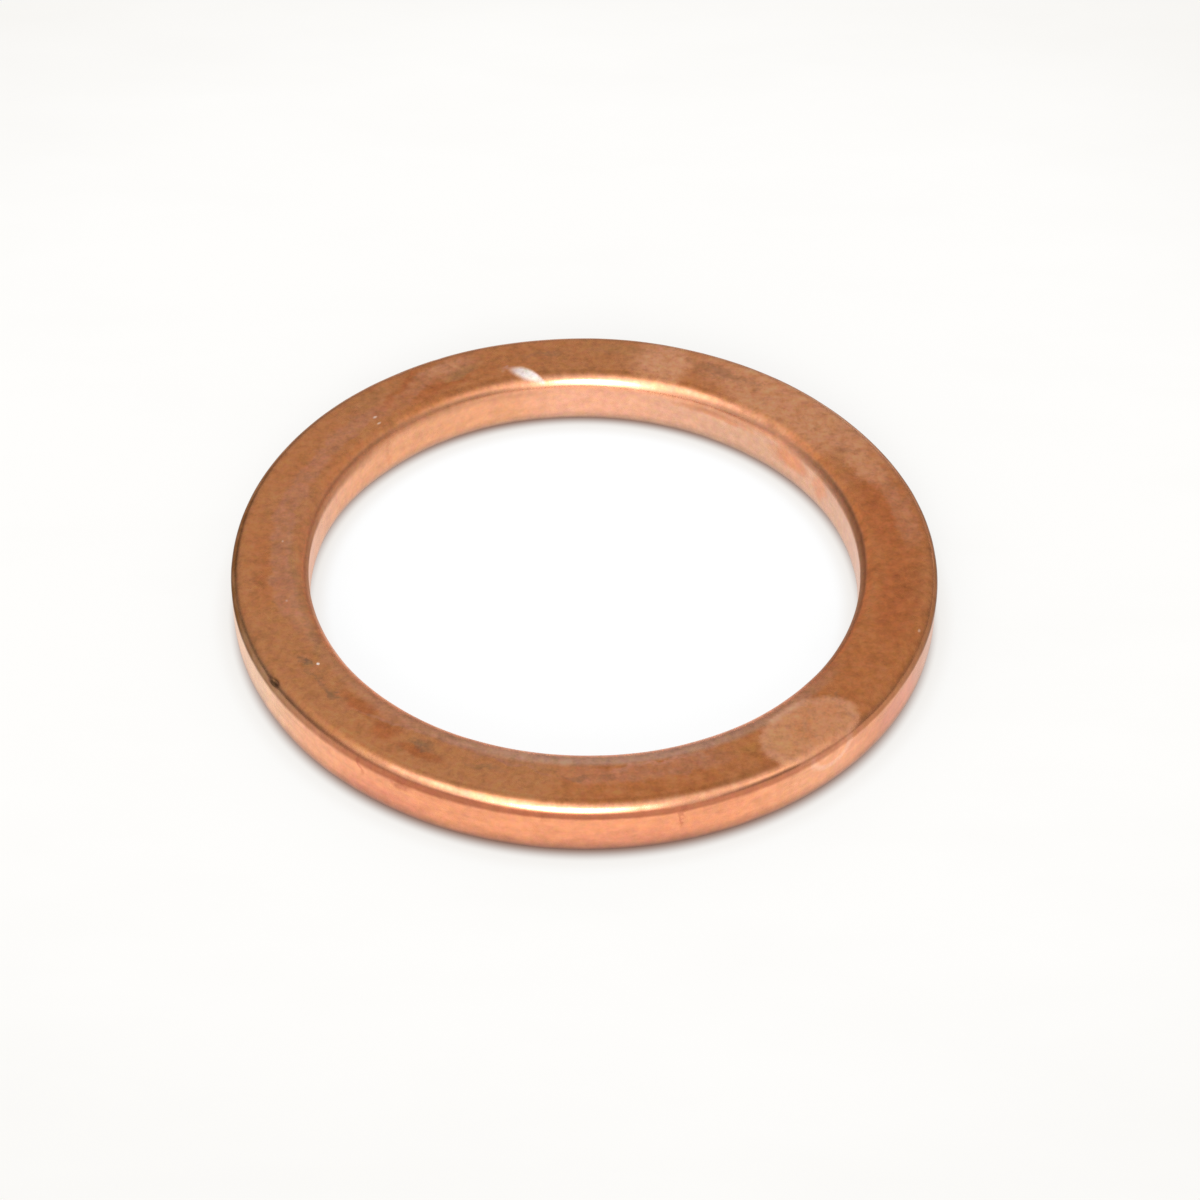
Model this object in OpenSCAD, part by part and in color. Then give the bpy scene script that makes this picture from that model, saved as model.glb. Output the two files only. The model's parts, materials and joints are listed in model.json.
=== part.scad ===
// Copper exhaust gasket: a flat crush ring, pressed from one piece of soft copper.
// It lies on its lower seating face, with the origin at the centre of the bore on
// that face and +Z up along the bore's axis. All sizes are in millimetres.

/* [Ring] */
// Diameter of the bore
bore_d = 37.5; // [16:0.1:80]
// Width of the flat ring, from the bore's wall to the outer wall
ring_w = 5.25; // [2.6:0.05:12]
// Thickness from one seating face to the other, before the ring is crushed
ring_t = 4.4; // [2.5:0.1:8]

/* [Edges] */
// Radius on the two edges at the bore
bore_edge_r = 1.2; // [0.1:0.05:1.6]
// Radius on the two edges of the outer wall
outer_edge_r = 1; // [0.1:0.05:1.6]

/* [Hidden] */

bore_r = bore_d / 2;
outer_r = bore_r + ring_w;
// Each round edge takes less than half of the ring's thickness and width, so that a
// thin or narrow ring keeps its flats.
edge_limit = 0.45 * min(ring_t, ring_w);
bore_edge = min(bore_edge_r, edge_limit);
outer_edge = min(outer_edge_r, edge_limit);
copper = [0.72, 0.45, 0.29];
$fn = 240;

// Round ends of one wall of the section: a disc of radius edge_r at each end of the
// wall, and the strip between them that carries the wall itself. The strip lies on
// the +X side of x = 0 and is one edge radius wide.
module rounded_wall(edge_r) {
    translate([0, edge_r]) square([edge_r, ring_t - 2 * edge_r]);
    for (y = [edge_r, ring_t - edge_r])
        translate([edge_r, y]) circle(r = edge_r, $fn = 64);
}

// Half of the ring cut through its axis: a flat bar whose four edges are round, as
// soft copper leaves the press. The seating faces stay flat between the edges.
module ring_section() {
    translate([bore_r, 0]) rounded_wall(bore_edge);
    translate([outer_r, 0]) mirror([1, 0]) rounded_wall(outer_edge);
    translate([bore_r + bore_edge, 0])
        square([ring_w - bore_edge - outer_edge, ring_t]);
}

// The whole gasket: the section carried once round the bore's axis, with no seam.
module gasket_ring() {
    color(copper) rotate_extrude() ring_section();
}

gasket_ring();
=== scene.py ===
import json
import math

import bpy
import numpy as np
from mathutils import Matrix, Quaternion, Vector


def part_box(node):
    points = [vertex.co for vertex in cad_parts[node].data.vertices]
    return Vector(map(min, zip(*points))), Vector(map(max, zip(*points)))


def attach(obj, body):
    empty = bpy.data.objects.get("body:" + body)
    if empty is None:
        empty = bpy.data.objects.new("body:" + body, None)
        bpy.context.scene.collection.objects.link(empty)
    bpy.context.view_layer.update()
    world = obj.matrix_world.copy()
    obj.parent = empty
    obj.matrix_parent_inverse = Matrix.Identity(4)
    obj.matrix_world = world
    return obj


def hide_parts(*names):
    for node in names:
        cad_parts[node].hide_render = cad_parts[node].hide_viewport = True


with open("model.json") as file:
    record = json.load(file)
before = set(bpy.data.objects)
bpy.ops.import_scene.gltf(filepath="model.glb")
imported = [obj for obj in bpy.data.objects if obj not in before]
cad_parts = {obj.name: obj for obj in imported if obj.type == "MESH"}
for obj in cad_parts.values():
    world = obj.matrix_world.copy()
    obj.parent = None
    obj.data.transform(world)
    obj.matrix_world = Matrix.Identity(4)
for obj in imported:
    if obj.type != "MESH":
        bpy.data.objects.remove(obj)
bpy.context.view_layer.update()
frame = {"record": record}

# The gasket: one flat ring of soft copper, pressed to shape and tumbled, so its four
# edges are round. It was never plated or painted, and it carries the stains, the haze
# and the small knocks of handling. It lies loose, held by nothing.

fits = {mount["name"]: mount["dims"] for mount in frame["record"]["mounts"]}
lowest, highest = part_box("gasket_ring")
MM = 0.001
outer_r = fits["outer_wall"]["r_mm"]
bore_r = fits["bore"]["r_mm"]
thickness = (highest.z - lowest.z) / MM
outer_edge = (thickness - fits["outer_wall"]["length_mm"]) / 2
bore_edge = (thickness - fits["bore"]["length_mm"]) / 2
face_r = (outer_r + bore_r) / 2

# How finely it is made: stations round the ring, and steps along each round edge and
# each flat of its section, from the outer low edge up the wall and on round.
STATIONS = 1020
EDGE_STEPS = (6, 16, 12, 5)
FLAT_STEPS = (12, 30, 7, 8)

# How uneven it is: the share by which the edge radii wander, and, in millimetres, how
# high the faces wave and how wide and deep the knocks are.
EDGE_SPREAD = 0.09
EDGE_WAVES = 18
FACE_WAVE = 0.006
FACE_WAVES = 26
KNOCKS = 34
KNOCK_WIDE = (0.14, 0.32)
KNOCK_DEEP = (0.006, 0.03)

rng = np.random.default_rng(41)
angle = np.linspace(-np.pi, np.pi, STATIONS, endpoint=False)


def wander(waves):
    """A smooth closed curve that stays within 1: sines that fit a whole number of times
    round the ring, lower the faster they are, each with a seeded height and phase."""
    rounds = np.arange(2, waves)
    height = rng.normal(0, 1, len(rounds)) / rounds**0.6
    phase = rng.uniform(0, 2 * np.pi, len(rounds))
    curve = (height * np.sin(np.outer(angle, rounds) + phase)).sum(1)
    return curve / np.abs(curve).max()


def section_plan():
    """The closed section as a plan that fits any edge radii. Each point lies between two
    corners: from one to the next by a share, at one edge radius from them along a
    direction. On a round edge both corners are the same and the direction turns through
    90 degrees; on a flat the direction stands still and the share runs from 0 to 1."""
    start, end, share, turn = [], [], [], []
    for corner in range(4):
        steps = EDGE_STEPS[corner]
        start.append(np.full(steps, corner))
        end.append(np.full(steps, corner))
        share.append(np.zeros(steps))
        turn.append(np.radians(90 * (corner - 1) + 90 * np.arange(steps) / steps))
        steps = FLAT_STEPS[corner]
        start.append(np.full(steps, corner))
        end.append(np.full(steps, (corner + 1) % 4))
        share.append(np.arange(steps) / steps)
        turn.append(np.full(steps, np.radians(90 * corner)))
    return [np.concatenate(part) for part in (start, end, share, turn)]


def ring_points():
    """Radius and height of every point of the ring, a row for each station round it:
    the section's plan with edge radii that wander a little along each of the four edges.
    The corners are the outer low, outer top, bore top and bore low one."""
    start, end, share, turn = section_plan()
    plain = np.array([outer_edge, outer_edge, bore_edge, bore_edge])
    radii = plain * (1 + EDGE_SPREAD * np.stack([wander(EDGE_WAVES) for _ in range(4)], 1))
    centre_r = np.stack([outer_r - radii[:, 0], outer_r - radii[:, 1],
                         bore_r + radii[:, 2], bore_r + radii[:, 3]], 1)
    centre_z = np.stack([radii[:, 0], thickness - radii[:, 1],
                         thickness - radii[:, 2], radii[:, 3]], 1)
    out, up = np.cos(turn), np.sin(turn)
    radius = ((1 - share) * centre_r[:, start] + share * centre_r[:, end]
              + ((1 - share) * radii[:, start] + share * radii[:, end]) * out)
    height = ((1 - share) * centre_z[:, start] + share * centre_z[:, end]
              + ((1 - share) * radii[:, start] + share * radii[:, end]) * up)
    return radius, height, out, up


def bell(offset, wide):
    """1 in the middle and near 0 at twice the width, smooth all the way: e to the power
    of minus the square of the offset over the width."""
    return np.exp(-((offset / wide) ** 2))


def knocks_in(girth):
    """How deep the surface is knocked in at each point, in millimetres: round dents
    with bell-shaped sides, placed at random round the ring and across its section."""
    depth = np.zeros((STATIONS, len(girth) - 1))
    across = rng.uniform(0, girth[-1], KNOCKS)
    along = rng.uniform(-np.pi, np.pi, KNOCKS)
    wide = rng.uniform(*KNOCK_WIDE, KNOCKS)
    deep = rng.uniform(*KNOCK_DEEP, KNOCKS)
    for a, s, w, d in zip(along, across, wide, deep):
        turn = (angle - a + np.pi) % (2 * np.pi) - np.pi
        off = np.hypot(face_r * turn[:, None], (girth[:-1] - s)[None, :])
        depth += d * bell(off, w)
    return depth


def faces_wave(girth):
    """The pressed faces aren't dead flat: shallow waves that close round the ring and
    round the section, the sum of sines with seeded directions and phases."""
    wave = np.zeros((STATIONS, len(girth) - 1))
    for _ in range(FACE_WAVES):
        round_ring = rng.integers(3, 64)
        round_section = rng.integers(-3, 4)
        wave += rng.normal(0, 1) * np.sin(
            round_ring * angle[:, None]
            + round_section * 2 * np.pi * girth[None, :-1] / girth[-1]
            + rng.uniform(0, 2 * np.pi))
    return FACE_WAVE * wave / np.abs(wave).max()


radius, height, out, up = ring_points()
mean_r, mean_z = radius.mean(0), height.mean(0)
steps = np.hypot(np.diff(np.r_[mean_r, mean_r[0]]), np.diff(np.r_[mean_z, mean_z[0]]))
girth = np.r_[0, np.cumsum(steps)]

depth = knocks_in(girth) + FACE_WAVE + faces_wave(girth)

# A small deep pit on the outer edge at the left, where something hard struck the ring. It
# runs along the edge, a little aslant.
PIT_AT = math.radians(-147.2)
PIT_LEAN = math.radians(53)
PIT_SLANT = 0.25
PIT_LONG = 0.42
PIT_WIDE = 0.18
PIT_DEEP = 0.09
pit_along = outer_r * (angle - PIT_AT)[:, None]
pit_down = outer_edge * (np.arctan2(out, up) - PIT_LEAN)[None, :] + PIT_SLANT * pit_along
pit_shape = bell(pit_along, PIT_LONG) * bell(pit_down, PIT_WIDE)
depth += PIT_DEEP * pit_shape * (radius > face_r)

# A shallow scrape that runs from the bore's edge at the back out across the face, shaped
# like a drop that is widest near its far end.
SCRAPE_FROM = np.array([-2.9, 18.62])
SCRAPE_TO = np.array([-5.52, 19.58])
SCRAPE_DEEP = 0.02
x, y = radius * np.cos(angle)[:, None], radius * np.sin(angle)[:, None]
run = SCRAPE_TO - SCRAPE_FROM
length = np.hypot(*run)
along = ((x - SCRAPE_FROM[0]) * run[0] + (y - SCRAPE_FROM[1]) * run[1]) / length**2
aside = ((x - SCRAPE_FROM[0]) * run[1] - (y - SCRAPE_FROM[1]) * run[0]) / length
breadth = 0.14 + 0.4 * np.clip(along, 0, 1)
scrape_shape = bell(aside, breadth) * bell(along - 0.55, 0.45)
depth += SCRAPE_DEEP * scrape_shape * (height > thickness - 0.4)

radius = radius - depth * out
height = height - depth * up
points = MM * np.stack([radius * np.cos(angle)[:, None],
                        radius * np.sin(angle)[:, None],
                        height + lowest.z / MM], 2)

# Faces join each station to the next and each section point to the next, round and round.
rows, columns = radius.shape
i, j = np.meshgrid(np.arange(rows), np.arange(columns), indexing="ij")
next_i, next_j = (i + 1) % rows, (j + 1) % columns
quads = np.stack([i * columns + j, next_i * columns + j,
                  next_i * columns + next_j, i * columns + next_j], 2)

# The flat map: the ring's skin cut into three bands of 120 degrees, laid one above
# the other with a gap, each as long as its arc and as high as the way round the section.
BANDS = 3
GAP = 0.01
per_band = rows // BANDS
u = np.stack([i % per_band, i % per_band + 1, i % per_band + 1, i % per_band], 2) / per_band
v = np.stack([girth[j], girth[j], girth[j + 1], girth[j + 1]], 2) / girth[-1]
band = (i // per_band)[:, :, None]
flat_map = np.stack([GAP + (1 - 2 * GAP) * u,
                     (band + 2 * GAP + (1 - 4 * GAP) * v) / BANDS], 3)

ring_mesh = bpy.data.meshes.new("copper_ring")
ring_mesh.from_pydata(points.reshape(-1, 3), [], quads.reshape(-1, 4))
ring_mesh.uv_layers.new(name="OFBake").uv.foreach_set(
    "vector", flat_map.astype(np.float32).ravel())
ring_mesh.shade_smooth()
ring = bpy.data.objects.new("copper_ring", ring_mesh)
bpy.context.scene.collection.objects.link(ring)

# The ring's finish: bare copper, with red and golden tarnish in soft clouds, pale haze
# where something dried on it, dark smudges, one dried drop, a dark line round both upper
# edges, and, as painted highlight, edges painted paler where the highlights fall.
copper = bpy.data.materials.new("soft_copper")
copper.use_nodes = True
tree = copper.node_tree
tree.nodes.clear()


def add(kind, feeds=None, **settings):
    """One node in the tree, with each socket in feeds given a link or a plain value."""
    made = tree.nodes.new("ShaderNode" + kind)
    for name, value in settings.items():
        setattr(made, name, value)
    for socket, value in (feeds or {}).items():
        if isinstance(value, bpy.types.NodeSocket):
            tree.links.new(value, made.inputs[socket])
        else:
            made.inputs[socket].default_value = value
    return made


def calc(operation, *values):
    """Arithmetic on one, two or three values or sockets."""
    return add("Math", dict(enumerate(values)), operation=operation).outputs[0]


def rise(value, start, end, low=0.0, high=1.0):
    """A smooth step of the value, from low at start to high at end."""
    feeds = {"Value": value, "From Min": start, "From Max": end, "To Min": low, "To Max": high}
    return add("MapRange", feeds, interpolation_type="SMOOTHSTEP").outputs[0]


def times(*factors):
    """All the masks multiplied together."""
    product = factors[0]
    for factor in factors[1:]:
        product = calc("MULTIPLY", product, factor)
    return product


def most(*masks):
    """The strongest of the masks at each place."""
    strongest = masks[0]
    for mask in masks[1:]:
        strongest = calc("MAXIMUM", strongest, mask)
    return strongest


def course(turn, stops):
    """A value that follows stops of (degrees round the ring, value) in straight lines."""
    made = add("FloatCurve", {"Value": turn})
    line = made.mapping.curves[0]
    line.points[0].location = (0, stops[0][1])
    line.points[1].location = (1, stops[-1][1])
    for degrees, value in stops[1:-1]:
        line.points.new((degrees + 180) / 360, value)
    for point in line.points:
        point.handle_type = "VECTOR"
    made.mapping.update()
    return made.outputs[0]


def size_of(vector):
    """The length of a vector: how far a place is from where its numbers are all 0."""
    return add("VectorMath", {0: vector}, operation="LENGTH").outputs["Value"]


def cloud(place, scale, detail=3.0, roughness=0.55, stretch=(1, 1, 1), shift=(0, 0, 0)):
    """Soft cloud noise, scale to the millimetre, stretched along the axes."""
    where = add("Mapping", {"Vector": place, "Scale": stretch, "Location": shift})
    feeds = {"Vector": where.outputs[0], "Scale": scale, "Detail": detail, "Roughness": roughness}
    return add("TexNoise", feeds)


def spread(place, degrees, share, along, across, deep=1.0, level=thickness, turned=0.0):
    """How far a place is from the middle of a rounded patch, 1 at its rim. The patch is
    centred at an angle, a share of the outer radius and a level; along and across are
    its half sizes round the ring and outwards, in millimetres, and deep the one up and
    down. Turned swings its long side inwards, in degrees."""
    a = math.radians(degrees)
    centre = (outer_r * share * math.cos(a), outer_r * share * math.sin(a), level)
    feeds = {"Vector": place, "Location": centre, "Rotation": (0, 0, a + math.radians(turned)),
             "Scale": (across, along, deep)}
    return size_of(add("Mapping", feeds, vector_type="TEXTURE").outputs[0])


def spot(place, degrees, share, along, across, soft=0.5, **more):
    """A mask that is 1 inside a rounded patch and fades out softly at its rim."""
    return rise(spread(place, degrees, share, along, across, **more), 1 + soft, 1 - soft)


def paint(under, colour, mask):
    """The colour laid over what is under it, as strongly as the mask says. A mix of
    colours takes them in at sockets 6 and 7 and gives its result at 2."""
    made = add("Mix", {"Factor": mask}, data_type="RGBA")
    for socket, value in ((6, under), (7, colour)):
        if isinstance(value, bpy.types.NodeSocket):
            tree.links.new(value, made.inputs[socket])
        else:
            made.inputs[socket].default_value = (*value, 1)
    return made.outputs[2]


# Places on the ring in millimetres: where it is, how far from the axis, how far round.
here = add("TexCoord").outputs["Object"]
place = add("Mapping", {"Vector": here, "Scale": (1 / MM,) * 3}).outputs[0]
flat_place = add("Mapping", {"Vector": here, "Scale": (1 / MM, 1 / MM, 0)}).outputs[0]
reach = size_of(flat_place)
parts = add("SeparateXYZ", {0: place})
level = parts.outputs[2]
turn = calc("MULTIPLY_ADD", calc("ARCTAN2", parts.outputs[1], parts.outputs[0]),
            1 / (2 * math.pi), 0.5)


def stirred(start, noise, far):
    """A place moved by colour noise, by up to half of far along each axis either way, so
    that the rim of a patch drawn with it comes out ragged."""
    sway = add("VectorMath", {0: noise, 1: (0.5, 0.5, 0.5)}, operation="SUBTRACT").outputs[0]
    return add("VectorMath", {0: sway, 1: far, 2: start}, operation="MULTIPLY_ADD").outputs[0]


coarse_stir = cloud(place, 0.75, 3.0).outputs["Color"]
fine_stir = cloud(place, 2.8, 2.0, 0.5, shift=(4, 4, 4)).outputs["Color"]
ragged = stirred(place, coarse_stir, (1.5, 1.5, 0.6))
frayed = stirred(ragged, fine_stir, (0.75, 0.75, 0.3))
calm = stirred(place, fine_stir, (0.45, 0.45, 0.2))

clouds = cloud(place, 0.16, 3.0, 0.62).outputs["Fac"]
fine_clouds = cloud(place, 0.9, 4.0, 0.6, shift=(7, 3, 1)).outputs["Fac"]
grain = cloud(place, 5.0, 3.0, 0.6).outputs["Fac"]
streaks = cloud(place, 0.5, 4.0, 0.6, stretch=(1, 1, 4), shift=(3, 8, 2)).outputs["Fac"]

# Which part of the skin a place is on: the two walls, the upper half, the upper face, and
# how far over on a round edge.
from_middle = calc("ABSOLUTE", calc("SUBTRACT", level, thickness / 2))
outer_wall = rise(reach, outer_r - 0.45, outer_r - 0.03)
bore_wall = rise(reach, bore_r + 0.55, bore_r + 0.05)
upper = rise(level, thickness / 2, thickness / 2 + 0.5)
on_top = rise(level, thickness - 0.5, thickness - 0.1)


def lean(outwards, edge):
    """How far a round edge has turned over, in degrees: 0 where the face ends and 90
    where the wall starts. Outwards is the distance sideways from the arc's middle."""
    upwards = calc("SUBTRACT", from_middle, thickness / 2 - edge)
    return calc("DEGREES", calc("ARCTAN2", outwards, upwards))


outer_lean = lean(calc("SUBTRACT", reach, outer_r - outer_edge), outer_edge)
bore_lean = lean(calc("SUBTRACT", bore_r + bore_edge, reach), bore_edge)

# Tarnish in red, amber and golden clouds.
GOLDEN = (0.985, 0.395, 0.160)
AMBER = (0.895, 0.308, 0.105)
RED = (0.825, 0.252, 0.086)
BROWN = (0.80, 0.31, 0.13)
OLIVE = (0.84, 0.375, 0.155)
WARM = (0.98, 0.40, 0.13)
amber = course(turn, [(-180, 0.2), (-150, 0.15), (-128, 0.0), (-96, 0.0), (-86, 0.95),
                      (-24, 0.95), (30, 0.9), (80, 0.35), (95, 0.4), (108, 0.6), (130, 0.5),
                      (150, 0.2), (180, 0.2)])
amber = calc("ADD", amber, rise(clouds, 0.3, 0.7, -0.35, 0.35))
tint = paint(GOLDEN, AMBER, calc("MAXIMUM", amber, 0.0))
tint = paint(tint, BROWN, times(rise(fine_clouds, 0.45, 0.7), 0.45))
red_zones = most(
    spot(ragged, -11, 0.888, 4.4, 1.3),
    spot(ragged, 12, 0.868, 4.4, 1.1),
    spot(ragged, 120.5, 0.853, 2.6, 0.6, turned=13),
    spot(ragged, 129, 0.905, 2.8, 0.35, turned=24),
    times(spot(ragged, -174, 0.905, 3.2, 0.5, 0.8), 0.55),
    spot(ragged, -126, 0.890, 0.9, 0.7),
    spot(ragged, -118, 0.912, 1.6, 0.35),
    spot(ragged, -133, 0.872, 1.6, 0.6))
tint = paint(tint, RED, times(red_zones, 0.8))
olive_zones = most(
    times(spot(ragged, 116, 0.885, 1.8, 0.45, turned=13), 0.9),
    times(spot(ragged, 134, 0.925, 2.4, 0.7), 0.6),
    times(spot(ragged, 84, 0.925, 2.6, 0.6), 0.6),
    times(spot(ragged, -112, 0.834, 6.0, 0.3), 0.8),
    times(spot(ragged, -165, 0.812, 7.0, 0.35), 0.7))
tint = paint(tint, OLIVE, olive_zones)
warm_spots = most(
    spot(ragged, -84, 0.947, 0.35, 0.25),
    spot(ragged, -60.5, 0.887, 0.7, 0.35))
tint = paint(tint, WARM, times(warm_spots, 0.7))

# The two walls: the outer one has a painted sheen, pale peach, at its left, where it is
# seen at a slant, and is duller at its right; the bore's changes from side to side too,
# and both carry a few stains.
WALL = (0.94, 0.373, 0.190)
PALE_SHEEN = (0.91, 0.52, 0.305)
DULL = (0.72, 0.287, 0.130)
WALL_RED = (0.80, 0.295, 0.175)
WALL_DARK = (0.66, 0.215, 0.115)
BORE = (0.92, 0.445, 0.280)
LEFT_BORE = (0.84, 0.385, 0.203)
RIGHT_BORE = (0.755, 0.415, 0.270)
BORE_RED = (0.76, 0.29, 0.14)
# Painted sheen: the outer wall painted paler at its left, where it is seen at a slant.
pale_sheen_mask = course(turn, [(-180, 0.6), (-168, 1), (-150, 1), (-137, 0.35), (-124, 0.08), (-112, 0),
                      (-64, 0), (-54, 0.3), (-46, 0.3), (-38, 0), (120, 0), (180, 0.6)])
outer_tint = paint(WALL, PALE_SHEEN, pale_sheen_mask)
dull = course(turn, [(-180, 0), (-44, 0), (-35, 1), (0, 1), (180, 0)])
outer_tint = paint(outer_tint, DULL, dull)
wall_red = most(
    times(spot(ragged, -30, 1.0, 3.2, 0.9, deep=1.1, level=2.2), 0.8),
    times(spot(ragged, -122, 1.0, 3.8, 0.9, deep=1.0, level=1.3), 0.8),
    times(spot(ragged, -81, 1.0, 5.0, 0.9, deep=1.0, level=1.3), 0.6))
outer_tint = paint(outer_tint, WALL_RED, wall_red)
wall_dark = most(
    spot(frayed, -126, 1.0, 0.2, 0.6, deep=0.7, level=3.3),
    spot(frayed, -118.5, 1.0, 0.6, 0.6, deep=0.35, level=3.2),
    spot(frayed, -74.5, 1.0, 0.16, 0.6, deep=0.9, level=3.0))
outer_tint = paint(outer_tint, WALL_DARK, times(wall_dark, 0.7))
tint = paint(tint, outer_tint, outer_wall)

left_bore = course(turn, [(-180, 1), (0, 0), (96, 0), (107, 1), (180, 1)])
bore_tint = paint(BORE, LEFT_BORE, left_bore)
right_bore = course(turn, [(-180, 0), (-40, 1), (58, 1), (84, 0), (180, 0)])
bore_tint = paint(bore_tint, RIGHT_BORE, right_bore)
bore_red = most(
    spot(frayed, 39, 0.781, 1.9, 0.6, deep=0.7, level=2.7),
    times(spot(frayed, 60, 0.781, 3.4, 0.6, deep=0.35, level=3.1), 0.8),
    times(spot(frayed, 28, 0.781, 0.8, 0.6, deep=0.9, level=2.6), 0.8),
    times(spot(ragged, 139, 0.781, 0.18, 0.6, deep=2.0, level=2.0), 0.5))
bore_tint = paint(bore_tint, BORE_RED, times(bore_red, 0.85))
tint = paint(tint, bore_tint, bore_wall)

# Pale haze: a band that wanders round the upper face, its course given as a share of the
# way from the bore to the outside, with two thin lines and wider breaths of it.
HAZE = (0.83, 0.347, 0.188)
BREATH = (1.0, 0.445, 0.228)
haze_at = course(turn, [(-180, 0.38), (-168, 0.34), (-157, 0.29), (-150, 0.18), (-137, 0.20),
                        (-97, 0.22), (-90, 0.46), (-63, 0.46), (-50, 0.6), (4, 0.70),
                        (18, 0.68), (60, 0.68), (113, 0.70), (123, 0.58), (130, 0.34),
                        (137, 0.41), (180, 0.38)])
haze_force = course(turn, [(-180, 0.9), (-160, 0.9), (-155, 0.3), (-147, 0.1), (-139, 0.2),
                           (-130, 0.5), (-100, 0.65), (-94, 0.3), (-88, 0.8), (-68, 0.75),
                           (-62, 0.0), (1, 0.0), (5, 0.6), (17, 0.6), (23, 0.0), (110, 0.0),
                           (114, 0.6), (122, 0.6), (133, 0.35), (138, 0.8), (180, 0.9)])
haze_line = calc("MULTIPLY_ADD", haze_at, outer_r - bore_r, bore_r)
ragged_flat = add("Mapping", {"Vector": ragged, "Scale": (1, 1, 0)}).outputs[0]
off_line = calc("ABSOLUTE", calc("SUBTRACT", size_of(ragged_flat), haze_line))
patchy = rise(cloud(place, 1.6, 3.0, 0.6, shift=(2, 5, 0)).outputs["Fac"], 0.3, 0.62, 0.55, 1.0)
haze = most(
    times(rise(off_line, 0.95, 0.45), haze_force, patchy, on_top),
    times(spot(ragged, -76.5, 0.852, 3.8, 0.16), 1.3, on_top),
    times(spot(ragged, -114, 0.842, 6.5, 0.2), on_top))
tint = paint(tint, HAZE, haze)
breath = most(
    times(spot(ragged, 47, 0.892, 8.6, 2.5, 0.4), 0.9),
    times(spot(ragged, 75, 0.892, 2.2, 2.2), 1.15),
    times(spot(frayed, 25.5, 0.905, 2.5, 1.1, 0.3), 0.8),
    times(spot(ragged, 118, 0.922, 1.9, 0.5), 0.8))
breath = times(breath, patchy, on_top)
tint = paint(tint, BREATH, breath)

# The dried drop that runs over the outer edge at the front right and a little way down
# the wall, as a tongue. It dried palest along its rim, with one bright patch inside.
DROP = (0.95, 0.415, 0.20)
DROP_RIM = (0.93, 0.44, 0.25)
TONGUE_RIM = (0.95, 0.60, 0.45)
DROP_PATCH = (1.0, 0.47, 0.215)
drop_face = spread(calm, -49.2, 0.927, 3.6, 2.33, deep=1.3)
drop_wall = spread(calm, -48.3, 1.0, 1.75, 1.2, deep=1.45, level=thickness - 0.65)
down_wall = rise(outer_lean, 50, 72)
drop = most(rise(drop_face, 1.12, 0.84), times(rise(drop_wall, 1.1, 0.95), down_wall, 0.4))
drop_rim = times(rise(drop_face, 0.74, 0.92), rise(drop_face, 1.12, 0.95))
tongue_rim = times(rise(drop_wall, 0.70, 0.90), rise(drop_wall, 1.18, 0.98), down_wall)
dried = cloud(place, 1.3, 4.0, 0.75, stretch=(1.6, 0.6, 1), shift=(1, 2, 3)).outputs["Fac"]
tint = paint(tint, DROP, times(drop, rise(dried, 0.3, 0.6, 0.5, 1.0)))
tint = paint(tint, DROP_RIM, times(drop_rim, 0.5))
tint = paint(tint, TONGUE_RIM, times(tongue_rim, 0.38))
tint = paint(tint, DROP_PATCH, times(spot(frayed, -54.3, 0.905, 0.7, 0.9), 0.6))

# Dark smudges, most of them near the middle of the face, one after another round it.
SMUDGE = (0.27, 0.15, 0.08)
smudge = most(
    spot(frayed, -147.9, 0.892, 0.5, 0.22, 1.0),
    times(spot(frayed, -138.6, 0.894, 0.8, 0.24, 1.0), 0.9),
    times(spot(frayed, -143, 0.897, 1.9, 0.14, 0.8), 0.6),
    times(spot(frayed, -118.6, 0.889, 0.65, 0.26, 1.0), 0.95),
    times(spot(frayed, -107, 0.888, 1.2, 0.22, 0.8), 0.6),
    times(spot(frayed, -91.0, 0.891, 0.9, 0.22, 0.8), 0.6),
    times(spot(frayed, -85.5, 0.887, 0.5, 0.2, 0.8), 0.4),
    times(spot(frayed, -72, 0.897, 0.7, 0.2, 0.8), 0.25),
    times(spot(frayed, -39.5, 0.891, 0.35, 0.2, 0.6), 0.6),
    times(spot(frayed, 63.5, 0.907, 2.1, 0.5, 0.8), 0.62),
    times(spot(frayed, 98, 0.898, 1.4, 0.32, 0.8), 0.6),
    times(spot(frayed, 115, 0.885, 1.6, 0.3, 0.8), 0.25))
smudge = times(smudge, rise(fine_clouds, 0.3, 0.6, 0.6, 1.0))
tint = paint(tint, SMUDGE, times(smudge, 0.85))

# Painted highlight: edges painted paler where the highlights fall on them, so that these
# whiten, the outer one at the front and the bore's at the back. The bore's edge at the
# front is painted a little paler too, more softly.
HIGHLIGHT_PALE = (0.97, 0.445, 0.255)
FRONT_RIM = (0.94, 0.50, 0.33)
outer_highlight_pale = times(rise(outer_lean, 18, 40), rise(outer_lean, 70, 60), upper,
                     course(turn, [(-180, 0), (-132, 0), (-118, 1), (-74, 1), (-60, 0.7),
                                   (-46, 0.1), (-38, 0), (180, 0)]))
bore_highlight_pale = times(rise(bore_lean, 20, 42), rise(bore_lean, 96, 74), upper,
                    course(turn, [(-180, 0), (30, 0), (45, 0.7), (62, 1), (98, 1), (110, 0.5),
                                  (126, 0), (180, 0)]))
tint = paint(tint, HIGHLIGHT_PALE, times(most(outer_highlight_pale, bore_highlight_pale), 0.9))
front_rim_mask = times(rise(bore_lean, -26, -4), rise(bore_lean, 70, 30), upper,
                      course(turn, [(-180, 0.1), (-150, 0.1), (-120, 0.3), (-100, 0.9),
                                    (-70, 0.95), (-45, 0.5), (-30, 0), (150, 0), (180, 0.1)]))
tint = paint(tint, FRONT_RIM, front_rim_mask)

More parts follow.
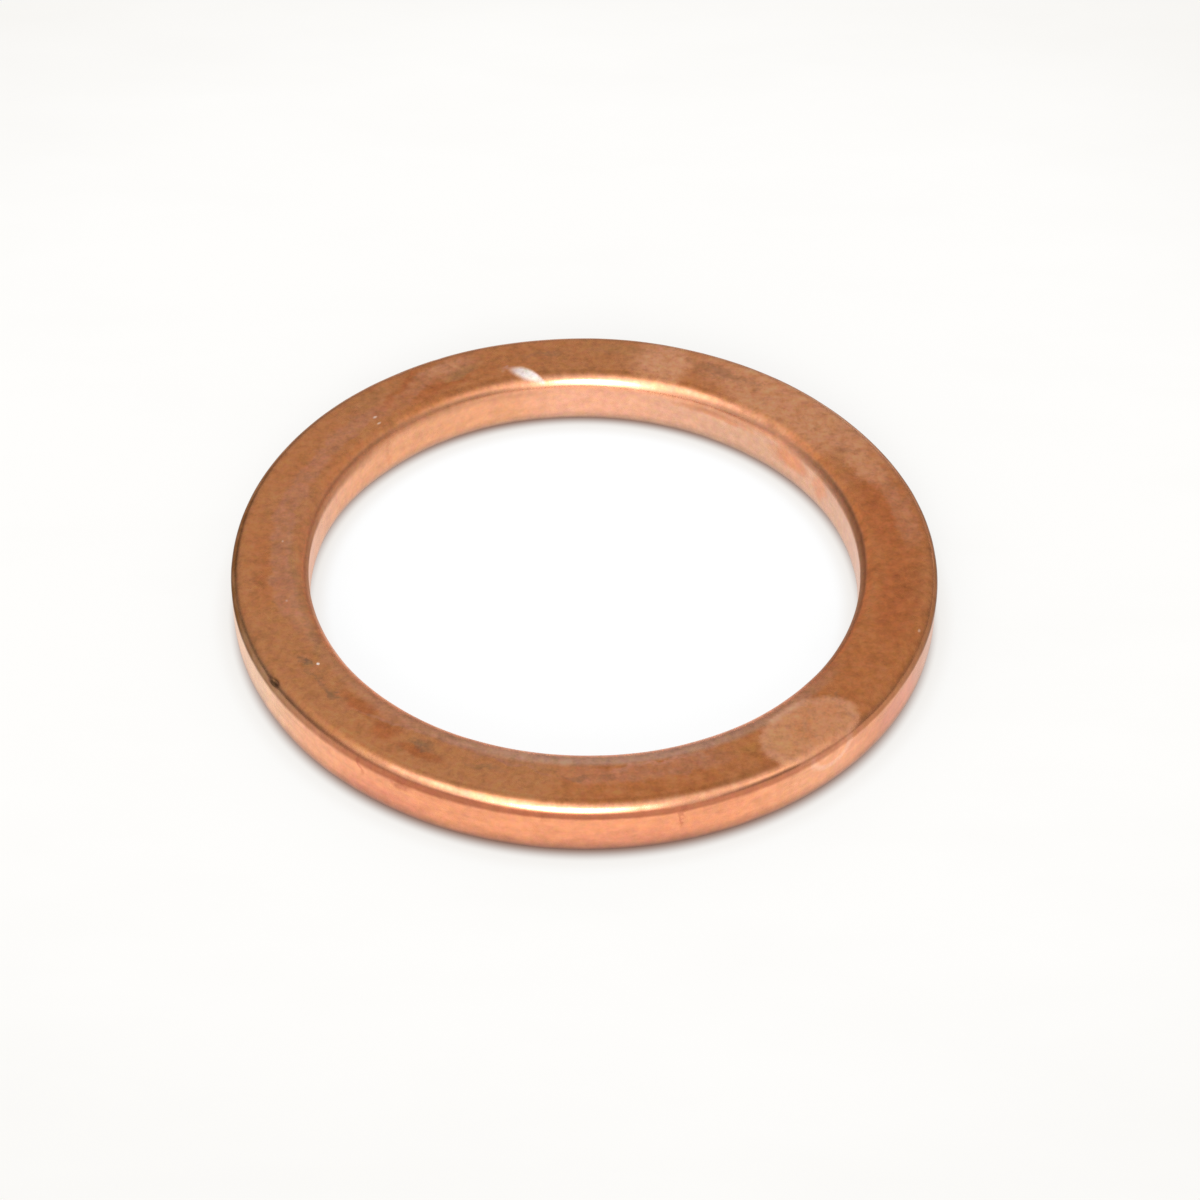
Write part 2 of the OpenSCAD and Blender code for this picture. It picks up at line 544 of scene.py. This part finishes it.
# A dark line round both upper edges, redder at the front of the outer one. It shines
# less at a slant than bare copper does.
BROWN_LINE = (0.23, 0.11, 0.055)
RED_LINE = (0.38, 0.108, 0.055)
BORE_LINE = (0.31, 0.148, 0.076)
BARE_SHINE = (1, 1, 1)
LINE_SHINE = (0.32, 0.27, 0.24)
wobble = times(calc("SUBTRACT", fine_clouds, 0.5), 8.0)


def dark_edge_line(leaning, middle, above, below):
    """A line along a round edge, darkest where the edge leans by the middle's degrees,
    and gone at above towards the face and at below down the wall. It fades over the
    outer two thirds of each. All three are in hundreds of degrees, because a course
    stays between 0 and 1."""
    off = calc("ADD", calc("SUBTRACT", leaning, times(middle, 100.0)), wobble)
    return times(rise(off, times(above, -100.0), times(above, -35.0)),
                 rise(off, times(below, 100.0), times(below, 35.0)), upper)


outer_at = course(turn, [(-180, 0.46), (-165, 0.64), (-150, 0.65), (-135, 0.64), (-120, 0.70),
                         (-105, 0.71), (-90, 0.75), (-75, 0.77), (-60, 0.67), (-45, 0.66),
                         (-30, 0.63), (-15, 0.60), (0, 0.56), (25, 0.44), (60, 0.36),
                         (130, 0.36), (160, 0.40), (180, 0.46)])
outer_above = course(turn, [(-180, 0.26), (-165, 0.34), (-150, 0.28), (-135, 0.26),
                            (-118, 0.17), (-60, 0.16), (-30, 0.12), (-15, 0.2), (180, 0.26)])
outer_below = course(turn, [(-180, 0.5), (-150, 0.45), (-135, 0.42), (-118, 0.35), (-90, 0.25),
                            (-70, 0.25), (-60, 0.35), (-30, 0.28), (-15, 0.4), (180, 0.5)])
outer_force = course(turn, [(-180, 0.9), (-165, 0.92), (-150, 0.76), (-135, 0.66),
                            (-120, 0.84), (-105, 0.86), (-90, 0.84), (-75, 0.74), (-60, 0.68),
                            (-45, 0.62), (-30, 0.55), (-15, 0.7), (0, 0.75), (30, 0.65),
                            (70, 0.5), (130, 0.5), (160, 0.75), (180, 0.9)])
outer_line = times(dark_edge_line(outer_lean, outer_at, outer_above, outer_below),
                   rise(streaks, 0.3, 0.6, 0.85, 1.0), outer_force)
red_line = course(turn, [(-180, 0), (-145, 0), (-125, 1), (-50, 1), (-30, 0), (180, 0)])
tint = paint(tint, paint(BROWN_LINE, RED_LINE, red_line), outer_line)

BORE_ABOVE = 0.2
bore_at = course(turn, [(-180, 0.64), (-150, 0.45), (-45, 0.40), (-30, 0.46), (-13, 0.54),
                        (0, 0.55), (30, 0.58), (45, 0.68), (60, 0.80), (100, 0.80),
                        (120, 0.62), (160, 0.64), (180, 0.64)])
bore_below = course(turn, [(-180, 0.3), (-40, 0.4), (0, 0.36), (30, 0.3), (75, 0.3),
                           (105, 0.4), (150, 0.5), (180, 0.3)])
bore_force = course(turn, [(-180, 0.65), (-165, 0.45), (-150, 0.1), (-135, 0), (-48, 0),
                           (-30, 0.6), (-15, 0.7), (0, 0.8), (15, 0.8), (30, 0.45), (45, 0.05),
                           (60, 0.3), (74, 0.05), (95, 0), (106, 0.22), (120, 0.35),
                           (135, 0.2), (150, 0.5), (165, 0.5), (180, 0.65)])
bore_line = times(dark_edge_line(bore_lean, bore_at, BORE_ABOVE, bore_below), bore_force)
tint = paint(tint, BORE_LINE, bore_line)
slant_shine = paint(BARE_SHINE, LINE_SHINE, most(outer_line, bore_line))

# Painted shade along the foot of both walls, darkest near the floor.
FOOT_SHADE = (0.36, 0.165, 0.110)
BORE_FOOT_SHADE = (0.47, 0.30, 0.22)
foot_shade_mask = times(rise(level, 1.75, 0.45), most(outer_wall, rise(outer_lean, 30, 50)),
              rise(reach, face_r, face_r + 0.5))
tint = paint(tint, FOOT_SHADE, times(foot_shade_mask, 0.95))
bore_foot_shade_mask = times(rise(level, 1.5, 0.5), rise(reach, face_r, face_r - 0.5))
tint = paint(tint, BORE_FOOT_SHADE, times(bore_foot_shade_mask, 0.7))

# The pale scrape at the back, tiny bright flecks, and the dark pit.
SCRAPED = (0.87, 0.76, 0.70)
PIT_DARK = (0.13, 0.06, 0.035)
scrape_turn = math.atan2(run[1], run[0])
feeds = {"Vector": place, "Location": (*SCRAPE_FROM, thickness), "Rotation": (0, 0, scrape_turn)}
in_scrape = add("SeparateXYZ", {0: add("Mapping", feeds, vector_type="TEXTURE").outputs[0]})
scrape_run = calc("DIVIDE", in_scrape.outputs[0], length)
scrape_half = rise(scrape_run, -0.3, 0.9, 0.0, 0.6)
scrape_off = size_of(add("CombineXYZ", {
    0: calc("DIVIDE", in_scrape.outputs[1], scrape_half),
    1: calc("DIVIDE", calc("SUBTRACT", scrape_run, 0.5), 0.52)}).outputs[0])
scrape = times(rise(scrape_off, 1.32, 0.5), rise(level, thickness - 0.8, thickness - 0.25))
scrape_tail = times(spot(frayed, 106.4, 0.856, 0.5, 0.2, 0.8), 0.22)
flecks = most(
    times(spot(place, -146.4, 0.863, 0.11, 0.1), 0.9),
    times(spot(place, 137.5, 0.854, 0.16, 0.1, 0.6), 0.6),
    times(spot(place, 138.2, 0.826, 0.16, 0.08, 0.6), 0.5),
    times(spot(place, 178.8, 0.857, 0.1, 0.07, 0.6), 0.35),
    times(spot(place, -164.5, 0.856, 0.1, 0.08, 0.6), 0.3),
    times(spot(place, -18.5, 0.975, 0.14, 0.08, 0.6), 0.35))
pale = most(scrape, scrape_tail, flecks)
tint = paint(tint, SCRAPED, pale)
pit = most(
    spot(place, -146.9, 0.989, 0.36, 0.2, 0.7, deep=0.22, level=4.07),
    times(spot(place, -148.0, 0.994, 0.36, 0.2, 0.8, deep=0.22, level=3.97), 0.8))
tint = paint(tint, PIT_DARK, times(pit, 0.92))

# All of it is mottled: darker and lighter in small clouds and grain, and streaked on the
# walls. A painted highlight makes it a little lighter along the line where the face turns
# into the edge at the front left. A fine speckle, of its own in red, green and blue, varies the
# hue.
SPECKLE_SPREAD = (0.14, 0.25, 0.38)
SPECKLE_LOW = (0.93, 0.875, 0.81)
walls = most(outer_wall, bore_wall)
blots = cloud(place, 1.9, 2.0, 0.5, shift=(6, 2, 4)).outputs["Fac"]
mottle = 0.0
for noise, force in ((fine_clouds, 0.75), (blots, 0.55), (grain, 0.42), (clouds, 0.25)):
    mottle = calc("MULTIPLY_ADD", calc("SUBTRACT", noise, 0.5), force, mottle)
shade = calc("MULTIPLY_ADD", mottle, rise(walls, 0, 1, 1.0, 0.45), 1.0)
wall_streaks = times(calc("SUBTRACT", streaks, 0.5), most(outer_wall, times(bore_wall, 0.6)))
shade = calc("MULTIPLY_ADD", wall_streaks, 0.45, shade)
# Painted highlight: a lighter line where the face turns into the outer edge at the front left.
painted_glint_line = times(rise(outer_lean, -6, 2), rise(outer_lean, 17, 8), upper,
                   course(turn, [(-180, 0), (-150, 0), (-138, 1), (-100, 1), (-86, 0), (180, 0)]))
shade = calc("MULTIPLY_ADD", painted_glint_line, 0.07, shade)
speckle = cloud(place, 2.4, 2.0, 0.5, shift=(5, 1, 9)).outputs["Color"]
speckle = add("VectorMath", {0: speckle, 1: SPECKLE_SPREAD, 2: SPECKLE_LOW},
              operation="MULTIPLY_ADD").outputs[0]
tint = add("VectorMath", {0: tint, "Scale": shade}, operation="SCALE").outputs[0]
tint = add("VectorMath", {0: tint, 1: speckle}, operation="MULTIPLY").outputs[0]
tint = add("VectorMath", {0: tint, 1: (1, 1, 1)}, operation="MINIMUM").outputs[0]

# How rough, how metallic and how uneven: haze and dried marks are dull films, the
# edges are the smoothest, but for the bore's edge away from the back, and fine
# grain and hair scratches cover all of it.
on_edge = most(times(rise(outer_lean, 2, 16), rise(outer_lean, 92, 84)),
               times(rise(bore_lean, 2, 16), rise(bore_lean, 82, 58)))
satin_edge = times(rise(bore_lean, 5, 25), rise(bore_lean, 90, 72), upper,
                   course(turn, [(-180, 1), (42, 1), (58, 0), (112, 0), (128, 0.8), (180, 1)]))
dull_film = most(haze, breath, times(drop, 0.9))
rough = rise(clouds, 0.3, 0.7, 0.22, 0.3)
for mask, rougher in ((grain, 0.05), (dull_film, 0.14), (smudge, 0.18), (on_edge, -0.1),
                      (satin_edge, 0.26), (outer_line, 0.1)):
    rough = calc("MULTIPLY_ADD", mask, rougher, rough)
film = most(times(haze, 0.1), times(breath, 0.22), times(drop, 0.2), times(drop_rim, 0.26),
            times(tongue_rim, 0.15), times(smudge, 0.3), times(pale, 0.9))
metal = calc("SUBTRACT", 1.0, film)

hairs = cloud(place, 1.0, 2.0, 0.5, stretch=(9, 0.5, 2)).outputs["Fac"]
hair = rise(calc("ABSOLUTE", calc("SUBTRACT", hairs, 0.5)), 0.012, 0.0)
relief = calc("MULTIPLY_ADD", grain, 0.0014, times(hair, -0.0012))
relief = calc("MULTIPLY_ADD", fine_clouds, 0.008, relief)
bump = add("Bump", {"Height": relief, "Strength": rise(on_edge, 0, 1, 1.0, 0.4),
                    "Distance": MM})

skin = add("BsdfPrincipled", {"Base Color": tint, "Roughness": rough, "Metallic": metal,
                              "Specular Tint": slant_shine, "Normal": bump.outputs[0]})
add("OutputMaterial", {"Surface": skin.outputs[0]})
ring_mesh.materials.append(copper)

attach(ring, "root")
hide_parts("gasket_ring")

# The floor: a wide sheet of smooth white board that the ring lies on. It is the stage,
# not part of the object. To the eye and in the metal it is as white as in the picture,
# and it falls off a little, and warmer, away from its brightest place behind the ring.

FLOOR_HALF = 2.0
BRIGHTEST = (0, 12, 0)
floor_mesh = bpy.data.meshes.new("floor")
floor_mesh.from_pydata([(-FLOOR_HALF, -FLOOR_HALF, 0), (FLOOR_HALF, -FLOOR_HALF, 0),
                        (FLOOR_HALF, FLOOR_HALF, 0), (-FLOOR_HALF, FLOOR_HALF, 0)],
                       [], [(0, 1, 2, 3)])
floor = bpy.data.objects.new("floor", floor_mesh)
bpy.context.scene.collection.objects.link(floor)
board = bpy.data.materials.new("white_board")
board.use_nodes = True
tree = board.node_tree
tree.nodes.clear()
BOARD = (0.87, 0.865, 0.85)
MIDDLE = (0.985, 0.985, 0.985)
NEAR = (0.962, 0.954, 0.938)
FAR = (0.865, 0.85, 0.82)
SOFT_SHADE = (0.85, 0.81, 0.77)
CONTACT_SHADE = (0.28, 0.148, 0.105)
board_place = add("Mapping", {"Vector": add("TexCoord").outputs["Object"],
                              "Scale": (1 / MM,) * 3}).outputs[0]
board_reach = size_of(board_place)
board_far = add("VectorMath", {0: board_place, 1: BRIGHTEST}, operation="DISTANCE")
fibres = cloud(board_place, 0.12, 3.0, 0.6, stretch=(0.35, 1, 1)).outputs["Fac"]
tone = paint(MIDDLE, NEAR, rise(board_reach, bore_r, outer_r))
tone = paint(tone, FAR, calc("MULTIPLY_ADD", calc("SUBTRACT", fibres, 0.5), 0.35,
                             rise(board_far.outputs["Value"], 38, 115)))

# Round its foot the board is painted darker as the ring's shade, deepest where they touch.
# Clear is how far a place is from the foot, in millimetres, and less than 0 under the ring.
FOOT_IN = bore_r + 0.25
from_foot = calc("ABSOLUTE", calc("SUBTRACT", board_reach, (outer_r + FOOT_IN) / 2))
clear = calc("SUBTRACT", from_foot, (outer_r - FOOT_IN) / 2)
fading = rise(board_reach, bore_r, outer_r, 0.75, 0.45)
tone = paint(tone, SOFT_SHADE, times(rise(clear, 1.8, 0.2), fading))
tone = paint(tone, CONTACT_SHADE, rise(clear, 0.5, -0.75))

# Where the board is seen, straight or in the metal, own is the share of its tone that is
# its own glow, and the rest takes the room's light. For the light that it throws back on
# the ring it is the plain board colour, with no glow.
ray = add("LightPath")
seen = most(ray.outputs["Is Camera Ray"], ray.outputs["Is Glossy Ray"],
            ray.outputs["Is Transmission Ray"])
own = rise(board_reach, bore_r, outer_r, 0.93, 0.83)
part_tone = add("VectorMath", {0: tone, "Scale": calc("SUBTRACT", 1.05, own)},
                operation="SCALE").outputs[0]
sheet = add("BsdfPrincipled", {"Base Color": paint(BOARD, part_tone, seen), "Roughness": 1.0,
                               "Specular IOR Level": 0.0, "Emission Color": tone,
                               "Emission Strength": times(seen, own)})
add("OutputMaterial", {"Surface": sheet.outputs[0]})
board.cycles.emission_sampling = "NONE"
floor_mesh.materials.append(board)

# The light: a small bright window of light in front of the ring and above it, with soft
# glows round it and off to the sides, in a plain room that is dim near the horizon and
# lighter higher up. All of it is the room's own light.

room = bpy.data.worlds.new("plain_room")
bpy.context.scene.world = room
room.use_nodes = True
tree = room.node_tree
tree.nodes.clear()
sky_way = add("TexCoord").outputs["Generated"]
sky_height = add("SeparateXYZ", {0: sky_way}).outputs[2]


def glow(across, front, wide, strength):
    """A soft round light, full in the middle and gone at so many degrees from it. Its
    middle is seen from the ring in the direction whose cosines are across, to the right,
    and front, towards the camera's side."""
    middle = Vector((across, -front, math.sqrt(1 - across**2 - front**2)))
    near = add("VectorMath", {0: sky_way, 1: middle}, operation="DOT_PRODUCT").outputs["Value"]
    return rise(calc("DEGREES", calc("ARCCOSINE", near)), wide, 0.0, 0.0, strength)


# The plain room's brightness, from the horizon at 0 to straight overhead at 1, and the
# glows in it: across, front, how many degrees wide, and how strong.
SKY = [(0.0, 0.27), (0.3, 0.366), (0.6, 0.439), (0.8, 0.47), (1.0, 0.31)]
GLOWS = [(-0.052, 0.872, 15.9, 15.86), (-0.050, 0.900, 36.0, 2.0), (-0.408, 0.506, 33.0, 0.97),
         (-0.172, 0.958, 79.7, 0.71), (-0.319, 0.306, 50.3, 0.32), (0.609, 0.451, 33.1, 0.36),
         (-0.050, 0.985, 22.0, 1.2), (0.750, 0.450, 16.0, 0.55)]
sky_ramp = add("ValToRGB", {"Fac": sky_height})
sky_ramp.color_ramp.elements[0].color = (SKY[0][1],) * 3 + (1,)
sky_ramp.color_ramp.elements[1].color = (SKY[-1][1],) * 3 + (1,)
for stop, value in SKY[1:-1]:
    sky_ramp.color_ramp.elements.new(stop).color = (value,) * 3 + (1,)
radiance = sky_ramp.outputs[0]
for across, front, wide, strength in GLOWS:
    radiance = calc("ADD", radiance, glow(across, front, wide, strength))
sky_light = add("Background", {"Color": (1, 1, 1, 1), "Strength": radiance})
add("OutputWorld", {"Surface": sky_light.outputs[0]})
bpy.context.scene.view_settings.view_transform = "Standard"
bpy.context.scene.cycles.caustics_reflective = False

# The camera: a long lens held close, looking down at the ring from the front, as the
# photograph was taken. The small roll and shift are the photograph's own framing.

VIEW_DOWN = math.radians(42.864)
VIEW_AWAY = 0.20220
ROLL = math.radians(0.817)
FOCAL_PX = 2931.41
PICTURE_PX = 1200
OFF_CENTRE_PX = (16.005, -2.765)
SENSOR_MM = 36

lens = bpy.data.cameras.new("camera")
lens.sensor_width = SENSOR_MM
lens.lens = FOCAL_PX * SENSOR_MM / PICTURE_PX
lens.shift_x = OFF_CENTRE_PX[0] / PICTURE_PX
lens.shift_y = OFF_CENTRE_PX[1] / PICTURE_PX
lens.clip_start = 0.01
camera = bpy.data.objects.new("camera", lens)
from_ring = Vector((0, -math.cos(VIEW_DOWN), math.sin(VIEW_DOWN)))
camera.location = VIEW_AWAY * from_ring
camera.rotation_mode = "QUATERNION"
camera.rotation_quaternion = from_ring.to_track_quat("Z", "Y") @ Quaternion((0, 0, 1), ROLL)
bpy.context.scene.collection.objects.link(camera)
bpy.context.scene.camera = camera
